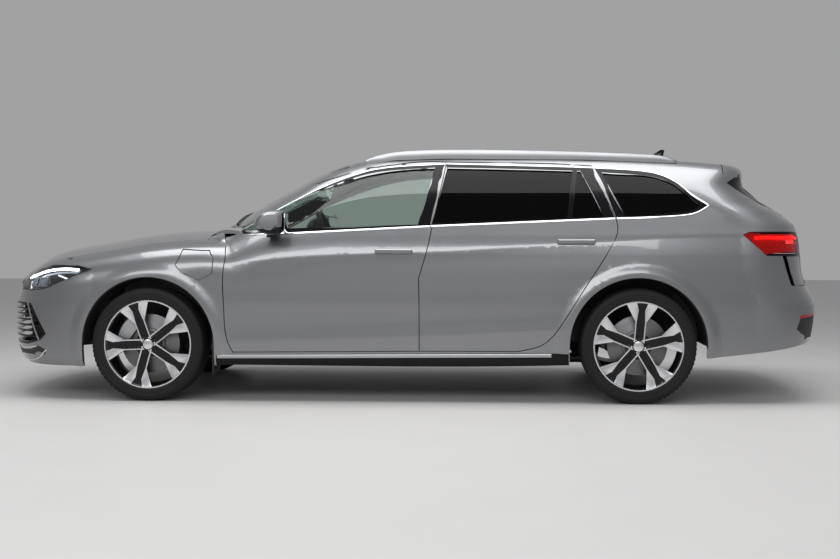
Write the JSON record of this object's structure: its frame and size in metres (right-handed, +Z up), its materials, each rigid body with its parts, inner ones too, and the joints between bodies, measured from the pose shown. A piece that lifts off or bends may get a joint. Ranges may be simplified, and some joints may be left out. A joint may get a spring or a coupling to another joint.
{
  "type": "station wagon",
  "caption": "Five-door estate car with a long roof, opening doors, hood and tailgate, steered front wheels and twin-spoke alloy wheels",
  "frame": {"origin": "on the ground under the middle of the car", "axes": "+X to the tail, +Y to the car's right, +Z up"},
  "size_m": [4.9161, 2.142, 1.513],
  "materials": {
    "paint": "metallic clear-coated paint",
    "underbody": "dull dark coating",
    "grille_trim": "gloss black with bright edges",
    "lamp_clear": "clear lens over bright reflectors",
    "lamp_red": "red lens",
    "glass": "clear green-tinted glass",
    "dark_glass": "dark privacy glass",
    "bright_rail": "satin anodised",
    "liner": "textured black",
    "iron": "cast",
    "pipe": "plain steel",
    "alloy": "machined faces with dark pockets",
    "tyre": "rubber",
    "trim": "grained dark trim",
    "leather": "dark seat leather"
  },
  "bodies": {
    "body": {"body_shell": "paint", "floor_pan": "underbody", "front_rails": "underbody", "front_fenders": "paint", "front_bumper": "paint", "front_grille": "grille_trim", "rear_bumper": "paint", "headlamps": "lamp_clear", "tail_lamps": "lamp_red", "windscreen": "glass", "quarter_windows": "dark_glass", "roof_rails": "bright_rail", "roof_fin": "grille_trim", "sill_covers": "grille_trim", "arch_liners": "liner", "engine": "iron", "front_subframe": "iron", "rear_axle": "iron", "exhaust": "pipe", "dashboard": "trim", "front_seats": "leather", "seat_bases": "underbody", "rear_seat": "leather", "cowl_panel": "liner", "steering_wheel": "trim"},
    "bonnet": {"hood": "paint"},
    "rear_gate": {"tailgate": "paint", "tailgate_window": "dark_glass"},
    "flap": {"charge_flap": "paint"},
    "wheel_front_left": {"tyre_front_left": "tyre", "rim_front_left": "alloy", "brake_disc_front_left": "iron"},
    "wheel_front_right": {"tyre_front_right": "tyre", "rim_front_right": "alloy", "brake_disc_front_right": "iron"},
    "wheel_rear_left": {"tyre_rear_left": "tyre", "rim_rear_left": "alloy", "brake_disc_rear_left": "iron"},
    "wheel_rear_right": {"tyre_rear_right": "tyre", "rim_rear_right": "alloy", "brake_disc_rear_right": "iron"},
    "knuckle_left": {"front_knuckle_left": "iron"},
    "front_door_left": {"door_front_left": "paint", "window_front_left": "glass", "mirror_left": "paint"},
    "rear_door_left": {"door_rear_left": "paint", "window_rear_left": "dark_glass"},
    "knuckle_right": {"front_knuckle_right": "iron"},
    "front_door_right": {"door_front_right": "paint", "window_front_right": "glass", "mirror_right": "paint"},
    "rear_door_right": {"door_rear_right": "paint", "window_rear_right": "dark_glass"}
  },
  "joints": [
    {"name": "steer_left", "type": "hinge", "parent": "body", "child": "knuckle_left", "pos_m": [-1.4785, -0.745, 0.332], "axis": [0, 0, 1], "range_deg": [-35, 35]},
    {"name": "steer_right", "type": "hinge", "parent": "body", "child": "knuckle_right", "pos_m": [-1.4785, 0.745, 0.332], "axis": [0, 0, 1], "range_deg": [-35, 35]},
    {"name": "spin_front_left", "type": "hinge", "parent": "knuckle_left", "child": "wheel_front_left", "pos_m": [-1.4785, -0.8, 0.332], "axis": [0, 1, 0], "continuous": true},
    {"name": "spin_front_right", "type": "hinge", "parent": "knuckle_right", "child": "wheel_front_right", "pos_m": [-1.4785, 0.8, 0.332], "axis": [0, 1, 0], "continuous": true},
    {"name": "spin_rear_left", "type": "hinge", "parent": "body", "child": "wheel_rear_left", "pos_m": [1.3625, -0.8, 0.332], "axis": [0, 1, 0], "continuous": true},
    {"name": "spin_rear_right", "type": "hinge", "parent": "body", "child": "wheel_rear_right", "pos_m": [1.3625, 0.8, 0.332], "axis": [0, 1, 0], "continuous": true},
    {"name": "open_front_door_left", "type": "hinge", "parent": "body", "child": "front_door_left", "pos_m": [-1.03396, -0.921, 0.6], "axis": [0, 0, -1], "range_deg": [0, 68]},
    {"name": "open_rear_door_left", "type": "hinge", "parent": "body", "child": "rear_door_left", "pos_m": [0.10244, -0.926, 0.6], "axis": [0, 0, -1], "range_deg": [0, 68]},
    {"name": "open_front_door_right", "type": "hinge", "parent": "body", "child": "front_door_right", "pos_m": [-1.03396, 0.921, 0.6], "axis": [0, 0, 1], "range_deg": [0, 68]},
    {"name": "open_rear_door_right", "type": "hinge", "parent": "body", "child": "rear_door_right", "pos_m": [0.10244, 0.926, 0.6], "axis": [0, 0, 1], "range_deg": [0, 68]},
    {"name": "open_bonnet", "type": "hinge", "parent": "body", "child": "bonnet", "pos_m": [-1.15631, 0, 1.008], "axis": [0, 1, 0], "range_deg": [0, 60]},
    {"name": "open_tailgate", "type": "hinge", "parent": "body", "child": "rear_gate", "pos_m": [1.8841, 0, 1.41], "axis": [0, -1, 0], "range_deg": [0, 78]},
    {"name": "open_charge_flap", "type": "hinge", "parent": "body", "child": "flap", "pos_m": [-1.31288, -0.917, 0.8], "axis": [0, 0, -1], "range_deg": [0, 95]}
  ],
  "couplings": [
    {"joint": "steer_left", "follows": "steer_right", "ratio": 1}
  ]
}
